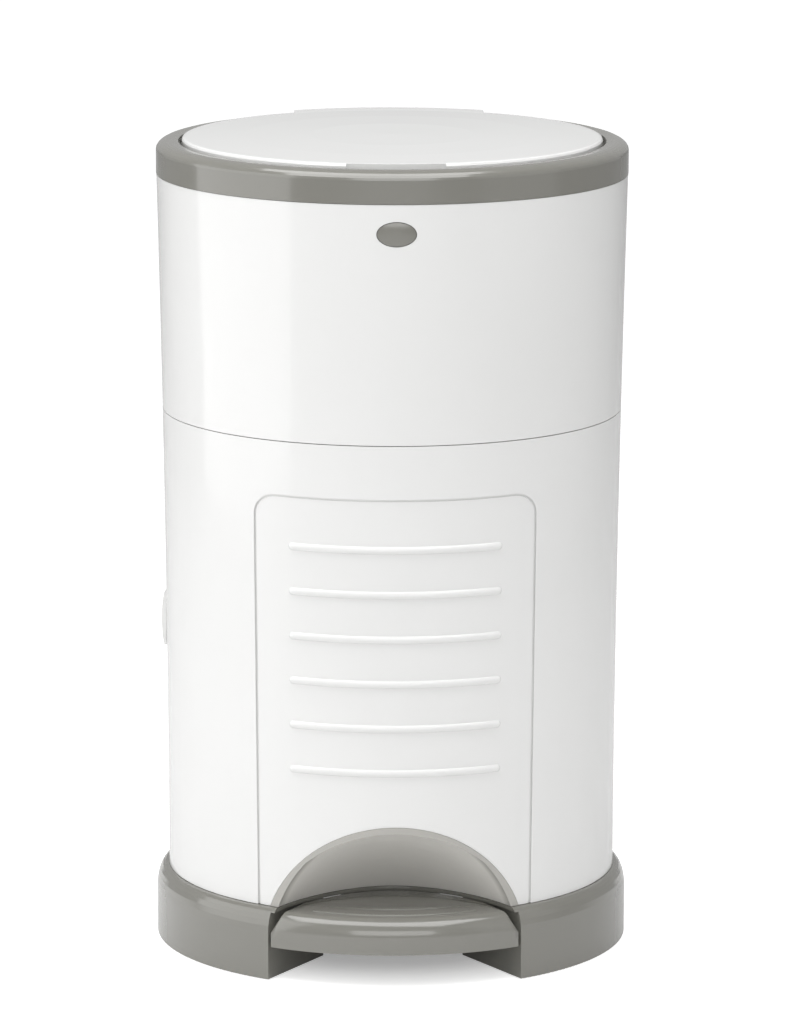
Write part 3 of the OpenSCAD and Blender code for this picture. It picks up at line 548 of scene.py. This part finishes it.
@dataclass
class PedalTread(FormedPiece):
    """Pedal with a rolled front edge, rounded edges, two thin ribs and its lever.

    Attributes:
        front_r: Radius of the front edge round the Z axis, in millimetres like the rest.
        inner_r: Radius where the tread's section starts, well behind its rear edge.
        half_angle: Half of the angle that the tread spans, in degrees.
        low_z: Underside of the tread.
        top_z: Top of the tread.
        roll: Depth of the rolled front edge.
        roll_drop: Height of the rolled front edge.
        roll_step: Step of the roll in degrees.
        spin_steps: Steps round the front.
        edge_round: Rounding of the rear and side edges.
        sharp_angle: Smallest angle in degrees that gets that rounding.
        recess_gap: Gap between the tread and the foot recess.
        recess_arc_r: Radius of the recess's arc.
        recess_arc_x: Shift of that arc's centre towards each side.
        recess_arc_y: Distance of that arc's centre in front of the middle.
        recess_z: Height that the recess's arc is turned about.
        deck_z: Height where the body starts.
        rib_angles: Half of the angle that each thin rib spans, from front to rear.
        rib_arc_r: Radius of the ribs' arcs.
        rib_arc_y: Place of the first arc's centre along Y.
        rib_pitch: Distance from rib to rib.
        rib_r: Radius of a rib.
        rib_flat: Height of a rib as a share of its width.
        rib_sink: How far a rib's middle lies below the top.
        lever_w: Width of the lever.
        lever_rear: Rear end of the lever along Y.
        pivot_y: Place of the pivot along Y.
        pivot_z: Height of the pivot.
        barrel_r: Radius of the pivot's barrel.
        barrel_proud: How much wider than the lever the barrel is.
    """

    front_r: float = 145.0
    inner_r: float = 60.0
    half_angle: float = 30.9
    low_z: float = 21.0
    top_z: float = 42.0
    roll: float = 9.0
    roll_drop: float = 12.0
    roll_step: int = 9
    spin_steps: int = 30
    edge_round: float = 1.2
    sharp_angle: float = 50.0
    recess_gap: float = 1.6
    recess_arc_r: float = 148.2
    recess_arc_x: float = 53.0
    recess_arc_y: float = 190.0
    recess_z: float = 12.9
    deck_z: float = 44.0
    rib_angles: Tuple[float, ...] = (20.0, 25.0)
    rib_arc_r: float = 115.0
    rib_arc_y: float = -2.0
    rib_pitch: float = 14.0
    rib_r: float = 1.0
    rib_flat: float = 0.9
    rib_sink: float = 0.15
    lever_w: float = 48.0
    lever_rear: float = 127.5
    pivot_y: float = 19.25
    pivot_z: float = 18.0
    barrel_r: float = 7.0
    barrel_proud: float = 2.0

    def rear_y(self, x: float) -> float:
        """Place of the rear edge, which runs along the foot recess.

        Args:
            x: Distance from the middle.

        Returns:
            The y of the edge.
        """
        rise = self.deck_z - self.recess_z
        reach = math.sqrt(x * x + rise * rise) + self.recess_arc_x
        arc = math.sqrt(self.recess_arc_r ** 2 - reach * reach)
        return -self.recess_arc_y + arc - self.recess_gap

    def rear_reach(self, angle: float) -> float:
        """Distance from the middle to the rear edge along one direction.

        Args:
            angle: Direction in degrees, measured from the front.

        Returns:
            The distance.
        """
        halvings = 40
        turn = math.radians(abs(angle))
        near, far = self.inner_r, self.front_r
        for _ in range(halvings):
            reach = (near + far) / 2
            if reach * math.cos(turn) + self.rear_y(reach * math.sin(turn)) < 0.0:
                near = reach
            else:
                far = reach
        return reach

    def roll_height(self, reach: float) -> float:
        """Height of the top at a distance from the middle, with the rolled front edge.

        Args:
            reach: Distance from the middle.

        Returns:
            The height.
        """
        into = max(0.0, reach - (self.front_r - self.roll)) / self.roll
        return self.top_z - self.roll_drop * (1.0 - math.sqrt(max(0.0, 1.0 - into * into)))

    def section(self) -> List[Tuple[float, float]]:
        """Lists the corners of the tread's section.

        Returns:
            The distance from the middle and the height of each corner.
        """
        roll_r, roll_z = self.front_r - self.roll, self.top_z - self.roll_drop
        corners = [(self.inner_r, self.low_z), (self.front_r, self.low_z)]
        for step in range(90, -1, -self.roll_step):
            turn = math.radians(step)
            corners.append((roll_r + self.roll * math.sin(turn),
                            roll_z + self.roll_drop * math.cos(turn)))
        return corners + [(self.inner_r, self.top_z)]

    def tread(self, bm: bmesh.types.BMesh) -> None:
        """Spins the section round the front and trims it to the rear edge.

        Args:
            bm: Mesh to add to.
        """
        start = Matrix.Rotation(math.radians(-90.0 - self.half_angle), 3, "Z")
        corners = [start @ Vector((reach, 0.0, z)) for reach, z in self.section()]
        face = outline_face(bm, corners)
        end_cap(face)
        bmesh.ops.spin(bm, geom=[face] + list(face.edges) + list(face.verts),
                       cent=(0.0, 0.0, 0.0), axis=(0.0, 0.0, 1.0),
                       angle=math.radians(2 * self.half_angle), steps=self.spin_steps,
                       use_merge=False, use_duplicate=False)
        bmesh.ops.remove_doubles(bm, verts=bm.verts, dist=WELD)
        slack = 10 * WELD
        for vert in bm.verts:
            reach = math.hypot(vert.co.x, vert.co.y)
            least = self.rear_reach(math.degrees(math.atan2(vert.co.x, -vert.co.y)))
            if reach < least + slack:
                vert.co.x *= least / reach
                vert.co.y *= least / reach
                vert.co.z = min(vert.co.z, self.roll_height(least))
        bmesh.ops.remove_doubles(bm, verts=bm.verts, dist=TRIM_WELD)
        bmesh.ops.dissolve_degenerate(bm, dist=TRIM_WELD, edges=bm.edges)

    def round_edges(self, bm: bmesh.types.BMesh) -> None:
        """Rounds the tread's upper rear and side edges.

        Args:
            bm: Mesh that holds the tread alone.
        """
        limit = math.radians(self.sharp_angle)
        above = self.low_z + 1.0
        sharp = [edge for edge in bm.edges
                 if len(edge.link_faces) == 2 and edge.calc_face_angle(0.0) > limit
                 and min(vert.co.z for vert in edge.verts) > above]
        bmesh.ops.bevel(bm, geom=sharp, offset=self.edge_round, offset_type="OFFSET",
                        segments=4, profile=0.5, affect="EDGES", clamp_overlap=True,
                        material=-1)

    def lever(self, bm: bmesh.types.BMesh) -> None:
        """Forms the lever under the tread and its pivot barrel.

        Args:
            bm: Mesh to add to.
        """
        y, z, rear = self.pivot_y, self.pivot_z, self.lever_rear
        underside = [(-118, 33), (-60, 27), (y - 6, z - 7), (y + 6, z - 7), (rear, 21)]
        upper = [(rear, 28), (rear - 14, 28), (y + 14, 27), (y - 6, 30), (-62, 38), (-72, 40),
                 (-118, 40)]
        half = self.lever_w / 2
        face = outline_face(bm, [(-half, py, pz) for py, pz in underside + upper])
        pull(bm, face, (self.lever_w, 0.0, 0.0))
        across = Matrix.Rotation(math.radians(90.0), 4, "Y")
        bmesh.ops.create_cone(bm, cap_ends=True, segments=48, radius1=self.barrel_r,
                              radius2=self.barrel_r, depth=self.lever_w + self.barrel_proud,
                              matrix=Matrix.Translation((0.0, y, z)) @ across)

    def form(self, bm: bmesh.types.BMesh) -> None:
        """Forms tread, ribs and lever.

        Args:
            bm: Empty mesh to fill.
        """
        self.tread(bm)
        self.round_edges(bm)
        for rank, half_angle in enumerate(self.rib_angles):
            centre = (0.0, self.rib_arc_y - self.rib_pitch * rank, self.top_z - self.rib_sink)
            Bead(centre, self.rib_arc_r, self.rib_r, half_angle, self.rib_flat).sweep(bm)
        self.lever(bm)


@dataclass
class CarriedParts:
    """The CAD nodes that keep their shape and get their finish here.

    Attributes:
        finishes: Finish of each node, by its name.
    """

    finishes: Dict[str, Finish] = field(default_factory=lambda: dict(NODE_FINISHES))

    def dress(self, nodes: Dict[str, bpy.types.Object]) -> None:
        """Gives every carried-over node its finish.

        Args:
            nodes: The frame's objects by name.
        """
        for name, thing in nodes.items():
            material = self.finishes[name].material()
            thing.data.materials.clear()
            thing.data.materials.append(material)
            LOG.info("dressed %s with %s", name, material.name)


@dataclass(frozen=True)
class Softbox:
    """A soft light panel.

    Attributes:
        name: Name of the light.
        place: Place in metres.
        aim: Point that the panel faces.
        size: Width and height in metres.
        power: Power in watts.
    """

    name: str
    place: Point
    aim: Point
    size: Tuple[float, float]
    power: float

    def light(self) -> None:
        """Adds the panel to the scene."""
        data = bpy.data.lights.new(self.name, "AREA")
        data.shape = "RECTANGLE"
        data.size, data.size_y = self.size
        data.energy = self.power
        thing = bpy.data.objects.new(self.name, data)
        look = (Vector(self.aim) - Vector(self.place)).to_track_quat("-Z", "Y")
        thing.matrix_world = Matrix.Translation(self.place) @ look.to_matrix().to_4x4()
        bpy.context.scene.collection.objects.link(thing)


SOFTBOXES: Tuple[Softbox, ...] = (
    Softbox("left_softbox", (-1.1, -0.25, 0.55), (0.0, 0.0, 0.25), (1.3, 1.1), 5.4),
    Softbox("top_softbox", (-0.1, -0.45, 2.0), (0.0, -0.05, 0.3), (2.2, 1.5), 33.0),
    Softbox("front_softbox", (0.0, -4.1, 1.5), (0.0, 0.0, 0.2), (3.0, 1.6), 29.0),
    Softbox("right_softbox", (1.3, -0.7, 0.7), (0.0, 0.0, 0.25), (1.2, 1.2), 1.2),
)


@dataclass
class Studio:
    """Floor, lights and camera.

    Attributes:
        floor_half: Half width of the floor in metres.
        floor_glow: Light that the floor gives off towards the camera.
        floor_fill: Light that it gives off towards the bin.
        pool_half: Half width of the bright middle of the floor.
        pool_fade: Width over which that middle fades.
        pool_glow: Share of the glow in the middle and past the fade.
        pool_tone: Tone of the floor in the middle and past the fade.
        painted_shadow_span: Distances from the middle where the painted shadow under the bin
            fades out.
        painted_shadow_glow: Share of the glow that is left under the bin, where it paints a
            shadow.
        surround: Strength of the white surround on the left and on the right.
        softboxes: Light panels.
        camera_place: Camera's place in metres, in the object's own frame.
        camera_pitch: Downward angle in degrees.
        camera_yaw: Turn about the vertical in degrees.
        camera_roll: Roll in degrees.
        lens: Focal length in millimetres.
        sensor: Long side of the sensor in millimetres.
        sight: Farthest distance in metres that the camera sees.
    """

    floor_half: float = 15.0
    floor_glow: float = 0.7
    floor_fill: float = 0.04
    pool_half: float = 0.7
    pool_fade: float = 0.7
    pool_glow: Tuple[float, float] = (1.0, 0.16)
    pool_tone: Tuple[float, float] = (0.8, 0.62)
    painted_shadow_span: Tuple[float, float] = (0.08, 0.15)
    painted_shadow_glow: float = 0.45
    surround: Tuple[float, float] = (0.4, 0.46)
    softboxes: Tuple[Softbox, ...] = SOFTBOXES
    camera_place: Point = (-0.06675, -3.5994, 0.97296)
    camera_pitch: float = 11.152
    camera_yaw: float = -1.1
    camera_roll: float = 0.11
    lens: float = 209.88
    sensor: float = 36.0
    sight: float = 60.0

    def camera(self) -> None:
        """Creates the camera at the photograph's viewing angle."""
        data = bpy.data.cameras.new("photo_camera")
        data.lens = self.lens
        data.sensor_width = self.sensor
        data.sensor_fit = "AUTO"
        data.clip_end = self.sight
        thing = bpy.data.objects.new("photo_camera", data)
        turn = (Matrix.Rotation(math.radians(self.camera_yaw), 4, "Z")
                @ Matrix.Rotation(math.radians(90.0 - self.camera_pitch), 4, "X")
                @ Matrix.Rotation(math.radians(self.camera_roll), 4, "Z"))
        thing.matrix_world = Matrix.Translation(self.camera_place) @ turn
        bpy.context.scene.collection.objects.link(thing)
        bpy.context.scene.camera = thing

    def floor_paint(self) -> bpy.types.Material:
        """Builds the floor's paint: pale, with a painted glow that is strongest in the middle
        and a painted shadow under the bin.

        Returns:
            The material.
        """
        paint = bpy.data.materials.new("studio_floor_paint")
        paint.use_nodes = True
        nodes, links = paint.node_tree.nodes, paint.node_tree.links
        shader = nodes["Principled BSDF"]
        shader.inputs["Roughness"].default_value = 0.9
        shader.inputs["Specular IOR Level"].default_value = 0.1
        shader.inputs["Emission Color"].default_value = (1.0, 1.0, 1.0, 1.0)
        place = nodes.new("ShaderNodeTexCoord")
        parts = nodes.new("ShaderNodeSeparateXYZ")
        side = nodes.new("ShaderNodeMath")
        side.operation = "ABSOLUTE"
        reach = nodes.new("ShaderNodeVectorMath")
        reach.operation = "LENGTH"
        path = nodes.new("ShaderNodeLightPath")
        pool_span = (self.pool_half, self.pool_half + self.pool_fade)
        # Painted glow: the floor gives off most light in its middle.
        pool = map_range(nodes, pool_span, self.pool_glow, smooth=True)
        tone = map_range(nodes, pool_span, self.pool_tone, smooth=True)
        # Painted shadow: the floor's glow drops under the bin.
        shade = map_range(nodes, self.painted_shadow_span, (self.painted_shadow_glow, 1.0), smooth=True)
        seen = map_range(nodes, result=(self.floor_fill, self.floor_glow))
        product, glow = nodes.new("ShaderNodeMath"), nodes.new("ShaderNodeMath")
        product.operation = glow.operation = "MULTIPLY"
        links.new(place.outputs["Object"], parts.inputs["Vector"])
        links.new(place.outputs["Object"], reach.inputs[0])
        links.new(reach.outputs["Value"], shade.inputs["Value"])
        links.new(parts.outputs["X"], side.inputs[0])
        for ramp in (pool, tone):
            links.new(side.outputs["Value"], ramp.inputs["Value"])
        links.new(pool.outputs["Result"], product.inputs[0])
        links.new(shade.outputs["Result"], product.inputs[1])
        links.new(path.outputs["Is Camera Ray"], seen.inputs["Value"])
        links.new(product.outputs["Value"], glow.inputs[0])
        links.new(seen.outputs["Result"], glow.inputs[1])
        links.new(glow.outputs["Value"], shader.inputs["Emission Strength"])
        links.new(tone.outputs["Result"], shader.inputs["Base Color"])
        return paint

    def floor(self) -> None:
        """Lays the plain pale floor."""
        mesh = bpy.data.meshes.new("studio_floor")
        bm = bmesh.new()
        bmesh.ops.create_grid(bm, x_segments=1, y_segments=1, size=self.floor_half)
        bm.to_mesh(mesh)
        bm.free()
        thing = bpy.data.objects.new("studio_floor", mesh)
        bpy.context.scene.collection.objects.link(thing)
        mesh.materials.append(self.floor_paint())

    def lights(self) -> None:
        """Sets the white surround and the softboxes."""
        world = bpy.data.worlds.new("studio_surround")
        world.use_nodes = True
        nodes, links = world.node_tree.nodes, world.node_tree.links
        back = nodes["Background"]
        back.inputs["Color"].default_value = (1.0, 1.0, 1.0, 1.0)
        place = nodes.new("ShaderNodeTexCoord")
        parts = nodes.new("ShaderNodeSeparateXYZ")
        ramp = map_range(nodes, (-1.0, 1.0), self.surround)
        links.new(place.outputs["Generated"], parts.inputs["Vector"])
        links.new(parts.outputs["X"], ramp.inputs["Value"])
        links.new(ramp.outputs["Result"], back.inputs["Strength"])
        bpy.context.scene.world = world
        for softbox in self.softboxes:
            softbox.light()

    def build(self) -> None:
        """Builds floor, lights and camera."""
        self.floor()
        self.lights()
        self.camera()
        scene = bpy.context.scene
        scene.view_settings.view_transform = "Standard"
        scene.view_settings.look = "None"


def main() -> None:
    """Builds the scene in order."""
    logging.basicConfig(level=logging.INFO, format="%(name)s: %(message)s")
    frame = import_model()
    formed = (
        DoorRibs("door_ribs", "door", WHITE_GLOSS),
        PedalTread("pedal_tread", "pedal", WARM_GREY, ("pedal",)),
    )
    for piece in formed:
        piece.build()
    CarriedParts().dress(frame["nodes"])
    Studio().build()


if __name__ == "__main__":
    main()
